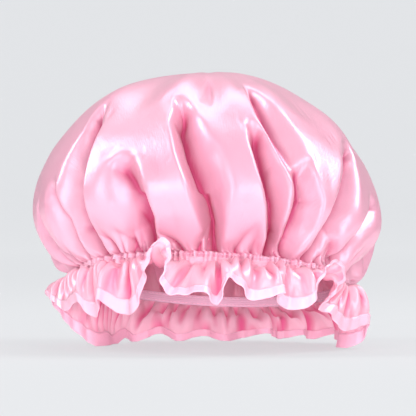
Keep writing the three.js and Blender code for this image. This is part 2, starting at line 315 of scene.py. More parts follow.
# Creases that the elastic draws into the cloth: their first place and the room after the last one, and
# ranges in mm of the gap, depth and half width. The reach up into the crown and down into the ruffle
# is from a range or, less often, from a longer one. The drift turns a crease as it goes.
small_creases = {
    "start": 0.0, "end": 2.5, "gap": (3.6, 6.6), "depth": (2.8, 5.2), "width": (0.9, 1.5),
    "up": ((5, 13), (14, 27), 0.7), "down": ((6, 14), (16, 34), 0.6), "drift": (-0.35, 0.35),
}
deep_creases = {
    "start": 4.0, "end": 6, "gap": (6, 14), "depth": (5.0, 10.0), "width": (1.5, 2.7),
    "up": ((11, 32),), "down": ((8, 24),), "drift": (-0.9, 0.9),
}
crease_random = random.Random(11)


def drawn(limits):
    """A length or a turn from a range."""
    return crease_random.uniform(*limits)


def reach_drawn(usual, longer=None, usual_share=1.0):
    """A reach from the usual range or, less often, from a longer one."""
    if longer and crease_random.random() >= usual_share:
        return drawn(longer)
    return drawn(usual)


def creases_round(start, end, gap, depth, width, up, down, drift):
    """The creases of one kind, each with its azimuth, depth, half width, reaches and drift."""
    found = []
    place = start
    while place < neck_length - end:
        found.append((
            place / neck_length * 360, drawn(depth), drawn(width),
            reach_drawn(*up), reach_drawn(*down), drawn(drift),
        ))
        place += drawn(gap)
    return found


creases = creases_round(**small_creases) + creases_round(**deep_creases)

# Creases widen by this share of the way they go, and their walls fall by this power. Between them the
# cloth puffs out at the gathers.
crease_widening, crease_power, counted_widths, drift_turn = 0.12, 1.3, 4, 0.35
puff, puff_reach = 4.0, 20


def crease_depths(azimuth, distance, downwards):
    """How far the creases sink at a distance from the gather line, above or below it."""
    total = np.zeros(np.broadcast(azimuth, distance).shape)
    way = 1 if downwards else -1
    for where, depth, width, reach_up, reach_down, drift in creases:
        reach = reach_down if downwards else reach_up
        middle = where + drift * distance * way * drift_turn
        offset = np.abs(degrees_past(azimuth, middle)) / 360 * neck_length
        spread = width + crease_widening * distance
        hollow = depth * np.exp(-(distance / reach) ** 2) * np.exp(-(offset / spread) ** crease_power)
        total += np.where(offset < counted_widths * spread, hollow, 0)
    return total - puff * np.exp(-(distance / puff_reach) ** 2)


noise_waves, noise_stretch, noise_level = 9, (1.4, 3), 1.2


def soft_noise(points, scale, seed):
    """Smooth unevenness between about -1 and 1 with bumps about scale mm across."""
    rng = random.Random(seed)
    total = np.zeros(points.shape[:-1])
    for _ in range(noise_waves):
        direction = np.array([rng.gauss(0, 1) for _ in range(3)])
        direction *= 2 * math.pi / (scale * rng.uniform(*noise_stretch) * np.linalg.norm(direction))
        total += np.sin(points @ direction + rng.uniform(0, 2 * math.pi))
    return total / math.sqrt(noise_waves * noise_level)


# Rows over the elastic, where the cloth is pinched in at a seam
seam_height, seam_half, seam_pinch = 2.5, 0.6, 0.35
neck_rows = np.array([0.0, 1.0, 1.8, seam_height, 3.2])
seam_row = 3

# How far the crown's gathers may come in, and the film's inside them, before they touch the elastic,
# and how much further for each mm up from it
neck_room, film_room, room_gain = 1.4, 1.75, 0.9

# The folds run out into the gathers over this distance, and the cloth's unevenness over this height.
run_out, run_out_power, calm_height = 16, 0.5, 12
rumple_size, rumple_seed, rumple_depth = 42, 5, 1.1
steer_distance = 14
fold_smoothing, lip_smoothing = 3, 2


def pinched(height):
    """How far the seam pinches the cloth in, at a height above or below the elastic's middle."""
    return seam_pinch * np.exp(-((abs(height) - seam_height) / seam_half) ** 2)


def crown_grid(columns, rows, inset=0.0, gathers=1.0, room=neck_room):
    """Rows of points of the crown from the gather line up to the top, the azimuths of its columns, and
    how far each row lies from the middle of the flat circle."""
    heights, run, run_z = crown_heights(rows)
    azimuth, z = np.meshgrid(np.arange(columns) * 360 / columns - 180, heights[:-1])
    base = crown_base(azimuth, z)
    normals = grid_normals(base)
    sunk = np.zeros(z.shape)
    lips = np.zeros(z.shape)
    slide = np.zeros(z.shape)
    for rows_of_fold in [*front_folds.values(), *(fold_rows(*fold) for fold in back_folds)]:
        fold, lip, over = fold_depths(azimuth, z, rows_of_fold)
        sunk += fold ** 2
        slide += over
        lips = np.maximum(lips, lip)
    sunk = smooth_rows(np.sqrt(sunk), fold_smoothing)
    for middle, low, high, width, depth in soft_folds:
        rise = np.sin(np.clip((z - low) / (high - low), 0, 1) * math.pi) ** 2
        sunk = sunk + depth * rise * np.exp(-(degrees_past(azimuth, middle) / width) ** 2)
    lips = smooth_rows(lips, lip_smoothing)
    # Cloth that a fold takes in stands out again beside it.
    sunk = sunk - swell_back * blurred(sunk, *swell_spread)
    calm = np.clip((z - elastic_half) / calm_height, 0, 1)
    distance = np.interp(z, run_z, run)
    sunk = sunk * np.clip(distance / run_out, 0, 1) ** run_out_power
    gathered = crease_depths(azimuth, distance, False) * gathers
    gathered = np.minimum(gathered, room - inset + room_gain * distance)
    wave = soft_noise(base, rumple_size, rumple_seed) * rumple_depth * calm
    move = -sunk + lips * calm + wave - gathered - inset
    # Near the neck the cloth stands nearly flat, so there it moves towards the middle instead.
    flat_out = normals.copy()
    flat_out[..., 2] = 0
    steer = np.clip(1 - distance / steer_distance, 0, 1)[..., None]
    ways = unit(normals * (1 - steer) + unit(flat_out) * steer)
    along = unit(np.roll(base, -1, 1) - np.roll(base, 1, 1))
    slide = smooth_rows(slide, lip_smoothing) * calm
    points = base + ways * move[..., None] + along * slide[..., None]
    neck = crown_base(azimuth[0], 0 * azimuth[0] + elastic_half)
    out = unit(neck * [1, 1, 0])
    collar = []
    for height in neck_rows:
        ring = neck - out * (gathered[0] + inset + pinched(height))[:, None]
        ring[:, 2] = height
        collar.append(ring)
    top = np.array([-crown_set_left, crown_set_back, crown_height - inset])
    tip = np.broadcast_to(top, (1, columns, 3))
    grid = np.concatenate([np.array(collar), points, tip])
    length = np.concatenate([neck_rows - elastic_half, distance[:, 0], [run[-1]]])
    return grid, azimuth[0], run[-1] - length


# The cloth that settles: its columns, rows and frames, and the share of the flat circle's spare width
# that the folds may take in, from the top of the crown down to the gathers
settling_columns, settling_rows, settling_frames = 480, 62, 14
spare_places, spare_shares = [0, 0.25, 0.5, 0.75, 0.92, 1], [0, 0.06, 0.18, 0.32, 0.2, 0.1]
least_climb = 1e-6
gravity_share = 0.05
cloth_settings = {
    "quality": 6, "mass": 0.0003, "tension_stiffness": 20, "tension_damping": 8,
    "compression_stiffness": 20, "compression_damping": 8, "shear_stiffness": 4, "shear_damping": 8,
    "bending_stiffness": 0.01, "bending_damping": 0.5, "air_damping": 2,
    "use_pressure": True, "uniform_pressure_force": 2,
}

# The settled moves start this far up the cloth from the gathers, and are whole this much further up.
moves_start, moves_grow = 8, 34


def rest_rings(grid, azimuth, radius):
    """The shape that the cloth wants: turned like a bowl, with each ring as long as its cloth."""
    around = np.linalg.norm(np.roll(grid, -1, 1) - grid, axis=-1).sum(1)
    spare = np.maximum(2 * math.pi * radius - around, 0)
    around = around + spare * np.interp(radius / radius[0], spare_places, spare_shares)
    ring = around / (2 * math.pi)
    climbs = np.sqrt(np.maximum(np.diff(radius) ** 2 - np.diff(ring) ** 2, least_climb))
    heights = np.concatenate([[0], np.cumsum(climbs)])[:, None]
    a = np.radians(azimuth)
    return np.stack([ring[:, None] * np.sin(a), -ring[:, None] * np.cos(a), heights + 0 * a], -1) * MM


def settle(piece, held, rest):
    """Runs the cloth simulation on a piece, held at one vertex group and drawn to its rest shape."""
    made = piece.modifiers.new("settling", "CLOTH")
    for name, value in cloth_settings.items():
        setattr(made.settings, name, value)
    made.settings.vertex_group_mass = held.name
    made.settings.rest_shape_key = rest
    made.settings.effector_weights.gravity = gravity_share
    made.collision_settings.use_collision = False
    made.collision_settings.use_self_collision = False
    made.point_cache.frame_start, made.point_cache.frame_end = 1, settling_frames
    scene = bpy.context.scene
    scene.frame_start, scene.frame_end = 1, settling_frames
    for step in range(1, settling_frames + 1):
        scene.frame_set(step)
    shape = piece.evaluated_get(bpy.context.evaluated_depsgraph_get()).data
    settled = np.empty(len(shape.vertices) * 3, np.float32)
    shape.vertices.foreach_get("co", settled)
    scene.frame_set(1)
    return settled.reshape(-1, 3)


def settled_moves():
    """Lets a coarser crown puff and buckle between its folds, and gives how far each point moved."""
    grid, azimuth, radius = crown_grid(settling_columns, settling_rows)
    rows, columns = np.indices(grid.shape[:2])
    piece = cloth("settling", grid, np.stack([rows, columns, 0 * rows], -1))
    tags = np.empty(len(piece.data.vertices) * 3, np.float32)
    piece.data.attributes["flat_place"].data.foreach_get("vector", tags)
    row_of, column_of = np.round(tags.reshape(-1, 3)[:, :2].T / MM).astype(int)
    piece.shape_key_add(name="Basis")
    rest = piece.shape_key_add(name="uncut rings")
    rest.data.foreach_set("co", rest_rings(grid, azimuth, radius)[row_of, column_of].ravel())
    rest.value = 0
    held = piece.vertex_groups.new(name="held")
    held.add([int(i) for i in np.flatnonzero(row_of <= len(neck_rows))], 1.0, "REPLACE")
    settled = (settle(piece, held, rest) / MM - np.array(mouth_middle)) @ np.array(lean)
    moves = np.zeros(grid.shape)
    moves[row_of, column_of] = settled - grid[row_of, column_of]
    moves[-1] = moves[-1, 0]
    moves *= np.clip((radius[0] - radius - moves_start) / moves_grow, 0, 1)[:, None, None]
    mesh = piece.data
    bpy.data.objects.remove(piece)
    bpy.data.meshes.remove(mesh)
    return moves, radius


def moved(grid, radius):
    """A grid of the crown with the settled cloth's moves."""
    columns = grid.shape[1]
    old, new = -settled_radius, -radius
    slope = np.gradient(settled_by, old, axis=0)
    i = np.clip(np.searchsorted(old, new) - 1, 0, len(old) - 2)
    gap = (old[i + 1] - old[i])[:, None, None]
    start, leaving, end, arriving = hermite(np.clip((new - old[i])[:, None, None] / gap, 0, 1))
    rows = (
        start * settled_by[i] + leaving * gap * slope[i]
        + end * settled_by[i + 1] + arriving * gap * slope[i + 1]
    )
    waves_in = np.fft.rfft(rows, axis=1)[:, :columns // 2 + 1]
    return grid + np.fft.irfft(waves_in, columns, axis=1) * columns / rows.shape[1]


settled_by, settled_radius = settled_moves()


def in_folds(points, scales, full):
    """How deep the points of a cloth lie in its folds, from 0 on the open cloth to 1.

    Each scale gives the degrees and rows that the cloth is evened out over, and full the depth in
    mm that counts as 1."""
    normals = grid_normals(points)
    depth = np.zeros(points.shape[:2])
    for degrees, times in scales:
        even = np.stack([blurred(points[..., k], degrees, times) for k in range(3)], -1)
        depth += ((even - points) * normals).sum(-1)
    return np.clip(depth / full, 0, 1)


def polar(azimuth, radius, depth=0.0):
    """Places on the flat circle of cloth, with the depth in the folds."""
    a = np.radians(azimuth)
    x, y = radius[:, None] * np.sin(a)[None], -radius[:, None] * np.cos(a)[None]
    return np.stack([x, y, depth + 0 * x], -1)


# Ruffle
# The hem's waves, close to the solids': azimuth, reach and drop, as shares of the ruffle's width. A
# wave whose drop is stands reaches down to the surface.
stands = None
waves = [
    (-98, 0.56, 0.27), (-84, 0.40, 0.52), (-75, 0.26, 0.70), (-68, 0.24, 0.62), (-63, 0.26, 0.62),
    (-60, 0.16, 0.80), (-55, 0.10, 0.88), (-50, 0.18, 0.80), (-46, 0.36, 0.68), (-43, 0.06, 0.84),
    (-33, 0.10, 0.88), (-27, 0.26, 0.52), (-22, 0.54, 0.16), (-19, 0.64, -0.10), (-16, 0.68, -0.14),
    (-13, 0.76, 0.08), (-15, 0.82, 0.42), (-16, 0.74, 0.60), (-14, 0.62, 0.72), (-8, 0.64, 0.72),
    (-3, 0.68, 0.68), (2, 0.48, 0.84), (5, 0.76, 0.46), (9, 0.64, 0.56), (13, 0.46, 0.72),
    (19, 0.52, 0.68), (24, 0.62, 0.60), (24, 0.30, 0.68), (31, 0.26, 0.76), (37, 0.44, 0.68),
    (42, 0.40, 0.22), (44, 0.49, -0.02), (50, 0.40, -0.12), (56, 0.37, 0.01), (57, 0.21, 0.28),
    (53, 0.12, 0.50), (50, 0.03, 0.62), (57, 0.06, 0.64), (71, 0.08, 0.83), (90, 0.37, 0.60),
    (97, 0.28, 0.82), (103, 0.06, stands), (109, 0.0, stands), (117, 0.22, 0.84), (123, 0.54, 0.58),
    (128, 0.44, 0.60), (134, 0.68, 0.44), (141, 0.40, 0.54), (148, 0.68, 0.40), (155, 0.44, 0.50),
    (162, 0.76, 0.34), (169, 0.44, 0.48), (176, 0.76, stands), (184, 0.48, 0.46), (191, 0.76, stands),
    (199, 0.48, 0.48), (206, 0.76, stands), (213, 0.46, 0.62), (222, 0.26, 0.86), (231, 0.02, stands),
    (240, 0.0, stands), (250, 0.30, 0.70),
]
columns_per_wave = 16
ruffle_columns = len(waves) * columns_per_wave
gathered_neighbours = 5
curve_power, least_step = 0.5, 1e-4
hem_share = 1 - hem_width / ruffle_width
hem_half = 0.55

# The bow of the cloth between the elastic and the hem, and how it grows where the two come close
bow_out_share, bow_in_share, bow_down_share = 0.6, 0.15, 0.25
bow_stand, bow_steps, bow_evenings = 3, 14, 60
bow_gains = np.arange(1, 2.7, 0.1)

# Ripples of the hem where it hangs free of the surface: height, wavelengths, swell and beats
hem_ripple, hem_ripples, ripple_seed = 2.0, (13, 19, 29), 8
ripple_swell, ripple_beats, ripple_phase = 0.7, (3, 9), 6
foot_clearance = 3
rim_shares = [0.8, 0.9, 1]


def at_mouth(azimuth, reach, z):
    """Points at a reach outside the mouth's ellipse."""
    a = np.radians(azimuth)
    half_wide, half_deep = mouth_half
    return np.stack([(half_wide + reach) * np.sin(a), -(half_deep + reach) * np.cos(a), z + 0 * a], -1)


def outwards_at(azimuth):
    """Directions away from the mouth's middle, level with its plane."""
    return unit(at_mouth(azimuth, 1, 0) - at_mouth(azimuth, 0, 0))


def surface_below(x, y):
    """Height in the cap's frame of what it stands on, below points of that frame."""
    rise = y * math.sin(lean_back) + x * math.cos(lean_back) * math.sin(side_lean)
    return (rise - stand_height) / (math.cos(lean_back) * math.cos(side_lean))


def hem_line():
    """The hem's edge: a centripetal curve through its waves."""
    knots = []
    for azimuth, reach, drop in waves:
        point = at_mouth(np.array(float(azimuth)), reach * ruffle_width, 0.0)
        lowest = surface_below(point[0], point[1]) - foot_cut
        point[2] = lowest if drop is stands else -drop * ruffle_width
        knots.append(point)
    knots = np.array(knots)
    line = []
    for i in range(len(knots)):
        p = [knots[(i + k) % len(knots)] for k in (-1, 0, 1, 2)]
        d = [max(np.linalg.norm(p[k + 1] - p[k]) ** curve_power, least_step) for k in range(3)]
        t1 = ((p[1] - p[0]) / d[0] - (p[2] - p[0]) / (d[0] + d[1]) + (p[2] - p[1]) / d[1]) * d[1]
        t2 = ((p[2] - p[1]) / d[1] - (p[3] - p[1]) / (d[1] + d[2]) + (p[3] - p[2]) / d[2]) * d[1]
        for step in range(columns_per_wave):
            start, leaving, end, arriving = hermite(step / columns_per_wave)
            line.append(p[1] * start + t1 * leaving + p[2] * end + t2 * arriving)
    return np.array(line)


def gather_azimuths():
    """Where each column of the ruffle is gathered to the elastic."""
    count = len(waves)
    means = []
    for wave in range(count + 1):
        total = weights = 0
        for k in range(-gathered_neighbours, gathered_neighbours + 1):
            weight = gathered_neighbours + 1 - abs(k)
            turns, rest = divmod(wave + k, count)
            total += weight * (waves[rest][0] + 360 * turns)
            weights += weight
        means.append(total / weights)
    return np.interp(np.arange(ruffle_columns) / columns_per_wave, np.arange(count + 1), means)


def ripples(line, wavelengths, seed):
    """Small uneven waves along a closed line, between about -1 and 1."""
    uneven = random.Random(seed)
    steps = np.linalg.norm(np.roll(line, -1, 0) - line, axis=1)
    turn = 2 * math.pi * np.concatenate([[0], np.cumsum(steps)[:-1]]) / steps.sum()
    total = 0 * turn
    for length in wavelengths:
        beat = turn * uneven.randint(*ripple_beats) + uneven.uniform(0, ripple_phase)
        swell = 1 + ripple_swell * np.sin(beat)
        total = total + swell * np.sin(turn * round(steps.sum() / length) + uneven.uniform(0, ripple_phase))
    return total / len(wavelengths)


hem_points = hem_line()
ruffle_azimuths = gather_azimuths()
ruffle_out = outwards_at(ruffle_azimuths)


def ruffle_surface(shares):
    """Rows of the ruffle's middle surface: 0 at the elastic's lower edge, 1 at the hem's edge."""
    start = at_mouth(ruffle_azimuths, -satin_thickness / 2, -elastic_half)
    away = hem_points - start
    reach = (away * ruffle_out).sum(-1)
    bow = reach * np.where(reach > 0, bow_out_share, bow_in_share)
    bend = start + ruffle_out * bow[:, None]
    bend[:, 2] += away[:, 2] * bow_down_share
    # Where the hem comes close to the elastic, the cloth between them stands out in a fuller bow.
    lift = bend - (start + hem_points) / 2 + ruffle_out * bow_stand
    steps = np.linspace(0, 1, bow_steps)[:, None, None]
    best = np.ones(ruffle_columns)
    for gain in bow_gains:
        trial = bow_through(start, (start + hem_points) / 2 + lift * gain, hem_points, steps)
        size = np.linalg.norm(np.diff(trial, axis=0), axis=-1).sum(0)
        best = np.where(size < ruffle_width - elastic_half, gain, best)
    best = even_columns(best, bow_evenings)
    bend = (start + hem_points) / 2 + lift * best[:, None]
    return bow_through(start, bend, hem_points, np.array(shares)[:, None, None])


hanging = hem_points[:, 2] > surface_below(hem_points[:, 0], hem_points[:, 1]) + foot_clearance
rippled = ripples(hem_points, hem_ripples, ripple_seed)[:, None] * hem_ripple
hem_points = hem_points - grid_normals(ruffle_surface(rim_shares))[-1] * rippled * hanging[:, None]

# Small pleats round the ruffle: depth, ranges of their widths and heights, and the way that they need
# to grow below the elastic
pleat_depth, pleat_widths, pleat_heights, pleat_seed = 4.6, (6.2, 11), (0.55, 1.0), 31
last_pleat, pleat_start, pleat_end_share, pleat_power = 5, 7, 0.75, 0.8

# The ruffle's rows, the room for its gathers, how they fade, and its finer unevenness
ruffle_rows, ruffle_crowding, ruffle_steer = 30, 1.25, 5
ruffle_room, ruffle_room_gain, gathers_fade = neck_room - 0.3, 0.8, 0.6
crumple_size, crumple_seed, crumple_depth, crumple_start, crumple_end = 14, 21, 0.7, 12, 6


def pleat_waves(azimuth):
    """Even rise and fall of the small pleats round the ruffle, of uneven widths, between -1 and 1."""
    uneven = random.Random(pleat_seed)
    places = [0.0]
    while places[-1] < neck_length - last_pleat:
        places.append(places[-1] + uneven.uniform(*pleat_widths))
    places = np.array(places) / places[-1] * 360
    heights = np.array([uneven.uniform(*pleat_heights) for _ in places])
    number = np.interp(azimuth % 360, places, np.arange(len(places)))
    return np.cos(2 * np.pi * number) * heights[np.minimum(number.astype(int), len(places) - 2)]


def ruffle_grid():
    """Rows of the ruffle from the start of its hem up to the gather line, and their places below it."""
    middle = ruffle_surface(np.linspace(0, 1, ruffle_rows) ** ruffle_crowding * hem_share)
    normals = -grid_normals(middle)
    steps = np.linalg.norm(np.diff(middle, axis=0), axis=-1)
    distance = np.concatenate([np.zeros((1, ruffle_columns)), np.cumsum(steps, 0)])
    whole = distance[-1:]
    gathered = crease_depths(ruffle_azimuths[None] + 0 * distance, distance + elastic_half, True)
    gathered = np.minimum(gathered, ruffle_room + ruffle_room_gain * distance)
    fade = np.clip(1 - distance / np.maximum(whole, 1) * gathers_fade, 0, 1)
    steer = np.clip(1 - distance / ruffle_steer, 0, 1)[..., None]
    ways = unit(normals * (1 - steer) + ruffle_out[None] * steer)
    points = middle - ways * (gathered * fade)[..., None]
    wave = soft_noise(middle, crumple_size, crumple_seed) * crumple_depth
    wave = wave * np.clip(distance / crumple_start, 0, 1) * np.clip((whole - distance) / crumple_end, 0, 1)
    to_hem = np.clip((whole - distance) / np.maximum(whole * pleat_end_share, 1), 0, 1)
    grown = np.clip(distance / pleat_start, 0, 1)
    wave += pleat_depth * pleat_waves(ruffle_azimuths) * grown * to_hem ** pleat_power
    points += normals * wave[..., None]
    edge = np.zeros(ruffle_columns) + elastic_half
    first = np.minimum(crease_depths(ruffle_azimuths, edge, True), ruffle_room)
    collar = []
    for height in -neck_rows[:-1]:
        ring = at_mouth(ruffle_azimuths, 0, height)
        share = -height / elastic_half
        inwards = first + pinched(height) + share * satin_thickness / 2
        collar.append(ring - ruffle_out * inwards[:, None])
    grid = np.concatenate([np.array(collar), points])
    length = np.concatenate([neck_rows[:-1] - elastic_half, distance.mean(1)])
    return grid[::-1], length[::-1]


# The hem's section: rows along each face, rows round the fold, and the shares of the ruffle's width
# whose normals the faces follow
face_rows, fold_turns = 7, 5
hem_base = [hem_share - 0.02, hem_share, hem_share + 0.07, 1, 1.02]


def hem_grid():
    """The hem's skin: out along its outer face, round the fold and back along its inner face."""
    along = np.linspace(0, 1, face_rows)[:-1]
    section = [(a, hem_half) for a in along]
    for t in np.radians(np.linspace(90, -90, fold_turns)):
        out = 1 + math.cos(t) * hem_half / hem_width - hem_half / hem_width
        section.append((out, math.sin(t) * hem_half))
    section += [(a, -hem_half) for a in along[::-1]]
    middle = ruffle_surface([hem_share + a * (1 - hem_share) for a, _ in section])
    side = -grid_normals(ruffle_surface(hem_base))
    normals = np.array([side[1] * (1 - a) + side[3] * a for a, _ in section])
    points = middle + unit(normals) * np.array([h for _, h in section])[:, None, None]
    # Where the cap stands, the hem lies flat on the surface.
    points[..., 2] = np.maximum(points[..., 2], surface_below(points[..., 0], points[..., 1]))
    return points, np.array([a * hem_width for a, _ in section])


# Finishes
class Value:
    """A socket that adds a Math node for each sum, product or power made of it."""

    def __init__(self, paint, socket):
        self.paint, self.socket = paint, socket

    def maths(self, operation, *values):
        return self.paint.node("ShaderNodeMath", {"operation": operation}, dict(enumerate(values)))

    def __add__(self, other):
        return self.maths("ADD", self, other)

    def __mul__(self, other):
        return self.maths("MULTIPLY", self, other)

    def __pow__(self, other):
        return self.maths("POWER", self, other)

    __radd__, __rmul__ = __add__, __mul__


# The Mix node's sockets for colours: its share, the two colours and the colour between them
mix_share, mix_first, mix_second, mix_between = 0, 6, 7, 2


class Paint:
    """A material under construction."""

    def __init__(self, name):
        self.material = bpy.data.materials.new(name)
        self.material.use_nodes = True
        self.tree = self.material.node_tree
        self.tree.nodes.clear()
        self.out = self.tree.nodes.new("ShaderNodeOutputMaterial")

    def node(self, kind, settings=None, sockets=None, output=0):
        """Adds a node, sets it up and returns one of its outputs."""
        made = self.tree.nodes.new(kind)
        for key, value in (settings or {}).items():
            setattr(made, key, value)
        for key, value in (sockets or {}).items():
            if isinstance(value, Value):
                self.tree.links.new(value.socket, made.inputs[key])
            else:
                made.inputs[key].default_value = value
        return Value(self, made.outputs[output])

    def mix(self, share, first, second):
        """A colour between two colours."""
        sockets = {mix_share: share, mix_first: first, mix_second: second}
        return self.node("ShaderNodeMix", {"data_type": "RGBA"}, sockets, mix_between)

    def finish(self, surface):
        """Puts a shader on the surface and returns the material."""
        self.tree.links.new(surface.socket, self.out.inputs["Surface"])
        return self.material


def linear(red, green, blue):
    """A colour on screen, 0 to 255, as the renderer's linear values."""
    values = [c / 255 for c in (red, green, blue)]
    return tuple(c / 12.92 if c <= 0.04045 else ((c + 0.055) / 1.055) ** 2.4 for c in values)


def solid(color):
    """An opaque colour."""
    return (*color, 1.0)


# Satin: waves a metre of its cloudiness and rumples, the yarns' stretch and turn on the uncut cloth,
# the parts of its relief, and how its colours, its painted shade in the folds and its roughness answer
cloud_scale, rumple_scale = 26, 150
yarn_stretch, yarn_turn = (1000, 140, 0), (0, 0, 0.6)
weave_height, rumple_height, relief = 0.4, 0.7, 0.0006
cloud_power, fold_shade_power, cloud_roughness = 1.5, 0.8, 0.08


def satin(name, color, deep, roughness, metal, coat, through, fold_shade=None):
    """Satin: long smooth yarns that carry a broad sheen, a fine diagonal weave, and any painted fold shade.
    """
    paint = Paint(name)
    flat = paint.node("ShaderNodeAttribute", {"attribute_name": "flat_place"}, {}, "Vector")
    place = paint.node("ShaderNodeTexCoord", {}, {}, "Object")
    cloudy = paint.node("ShaderNodeTexNoise", {}, {"Vector": place, "Scale": cloud_scale, "Detail": 2})
    stretched = {"Vector": flat, "Scale": yarn_stretch, "Rotation": yarn_turn}
    yarn = paint.node("ShaderNodeMapping", {}, stretched)
    weave = paint.node("ShaderNodeTexNoise", {}, {"Vector": yarn, "Scale": 1, "Detail": 1})
    rumple = paint.node("ShaderNodeTexNoise", {}, {"Vector": place, "Scale": rumple_scale, "Detail": 3})
    height = weave * weave_height + rumple * rumple_height
    bump = paint.node("ShaderNodeBump", {}, {"Strength": 0.5, "Distance": relief, "Height": height})
    base = paint.mix(cloudy ** cloud_power, solid(color), solid(deep))
    # Painted shade: the deeper a point lies in its folds, the more its colour turns to the shade colour.
    if fold_shade:
        depth = paint.node("ShaderNodeSeparateXYZ", {}, {0: flat}, 2)
        base = paint.mix(depth ** fold_shade_power, base, solid(fold_shade))
    rough = cloudy * cloud_roughness + (roughness - cloud_roughness / 2)
    shader = paint.node("ShaderNodeBsdfPrincipled", {}, {
        "Base Color": base, "Roughness": rough, "Metallic": metal, "Normal": bump,
        "Coat Weight": coat, "Coat Roughness": 0.3, "IOR": 1.5, "Specular IOR Level": 0.6,
        "Sheen Weight": 0.15, "Sheen Roughness": 0.45,
    })
    glow = paint.node("ShaderNodeBsdfTranslucent", {}, {"Color": base, "Normal": bump})
    return paint.finish(paint.node("ShaderNodeMixShader", {}, {0: through, 1: shader, 2: glow}))


def dress(piece, material, slot, *nodes):
    """Gives a piece its finish, its body and the solids that it stands for. The slot is not used."""
    piece.data.materials.append(material)
    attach(piece, "root")
    if nodes:
        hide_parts(*nodes)


# Each finish has its colour, its cloudy colour, roughness, metal sheen, coat, the share of light that
# comes through it, and the painted shade that darkens its folds.
satin_pink = satin("pink satin", linear(237, 187, 206), linear(231, 167, 193), 0.36, 0.42, 0.2, 0.3,
                   linear(200, 82, 126))
ruffle_pink = satin("gathered satin", linear(247, 199, 215), linear(245, 183, 204), 0.33, 0.25, 0.25, 0.42,
                    linear(232, 104, 152))
hem_pink = satin("pressed satin hem", linear(247, 208, 225), linear(243, 194, 215), 0.34, 0.15, 0.35, 0.4)
film_pink = satin("waterproof film", linear(253, 222, 234), linear(253, 216, 230), 0.5, 0.0, 0.1, 0.6)
elastic_pink = satin("woven elastic", linear(224, 186, 206), linear(214, 174, 196), 0.6, 0.0, 0.0, 0.15)
thread_pink = satin("sewing thread", linear(250, 196, 218), linear(246, 184, 208), 0.5, 0.0, 0.1, 0.0)

# How the depth in the folds is found, which sets their painted shade, as degrees and rows to even out,
# and the depth that counts as 1: for the crown's folds, for its creases and for the ruffle's pleats
crown_columns, crown_rows = 960, 96
fold_scales, full_fold = [(12, 60), (4, 14)], 10
crease_scales, full_crease, crease_share = [(0.9, 2)], 1.5, 0.8
pleat_scales, full_pleat = [(1.6, 3)], 2.5

# The pieces
points, azimuths, radius = crown_grid(crown_columns, crown_rows)
points = moved(points, radius)
# The crown's depth in its folds and creases sets its painted shade.
depth = in_folds(points, fold_scales, full_fold)
depth = depth + crease_share * in_folds(points, crease_scales, full_crease)
crown = cloth("crown_cloth", points, polar(azimuths, radius, np.clip(depth, 0, 1)))
dress(crown, satin_pink, "satin", "crown_satin")
crown_radius = float(radius[0])
upper_seam, upper_azimuths = points[seam_row], azimuths

# The film lies this far inside the satin, so its circle is smaller by that times the crown's turn.
film_inset, film_gathers = 2.6, 1.1
points, azimuths, radius = crown_grid(crown_columns, crown_rows, film_inset, film_gathers, film_room)
points = moved(points, radius)
film = cloth("film_lining", points, polar(azimuths, radius))
dress(film, film_pink, "film", "crown_film")

points, lengths = ruffle_grid()
# The ruffle's depth in its pleats sets its painted shade.
depth = in_folds(points, pleat_scales, full_pleat)
ruffle = cloth("ruffle_cloth", points, polar(ruffle_azimuths, crown_radius + lengths, depth))
dress(ruffle, ruffle_pink, "satin", "ruffle_satin")
lower_seam = points[-1 - seam_row]

points, lengths = hem_grid()
hem_places = polar(ruffle_azimuths, crown_radius + ruffle_width - hem_width + lengths)
hem = cloth("ruffle_hem_fold", points[::-1], hem_places[::-1], closed_rows=True)
dress(hem, hem_pink, "satin_hem", "ruffle_hem")

# The elastic is one band that laps over its own start; fine cords run along it. The last degrees of
# the band climb onto its start.
elastic_gap, band_wall, lap_clearance = 0.6, 0.7, 0.3
lap_at, lap_climb = 359, 1.5
band_columns, band_lines, cord_count, cord_height = 261, 33, 5, 0.1
inset = satin_thickness + film_thickness + elastic_gap
lap_angle = 360 * elastic_lap / neck_length
around = np.linspace(lap_angle, 360 + lap_angle, band_columns)
climbed = np.clip((around - lap_at) / lap_climb, 0, 1) * (elastic_thickness + lap_clearance)
band_rows = np.linspace(-elastic_half, elastic_half, band_lines)
cords = cord_height * np.cos(np.linspace(0, 2 * math.pi * cord_count, band_lines))
band = np.stack([at_mouth(around, -inset - cord - climbed, z) for z, cord in zip(band_rows, cords)])
band_places = polar(around, crown_radius + band_rows)
elastic = cloth("elastic", band, band_places, closed_columns=False, thickness=band_wall)
dress(elastic, elastic_pink, "elastic", "elastic_band")

# A stitch: from one to the next, its length and its thread's thickness
stitch = (3.1, 2.5, 0.42)
bead_rings, bead_sides = 5, 6
seam_stand, hem_stitch_in = 0.1, 1.3
tack_threads, tack_pitch, tack_half, tack_overlap, tack_place = 6, 0.9, 3.2, 1.1, 0.85


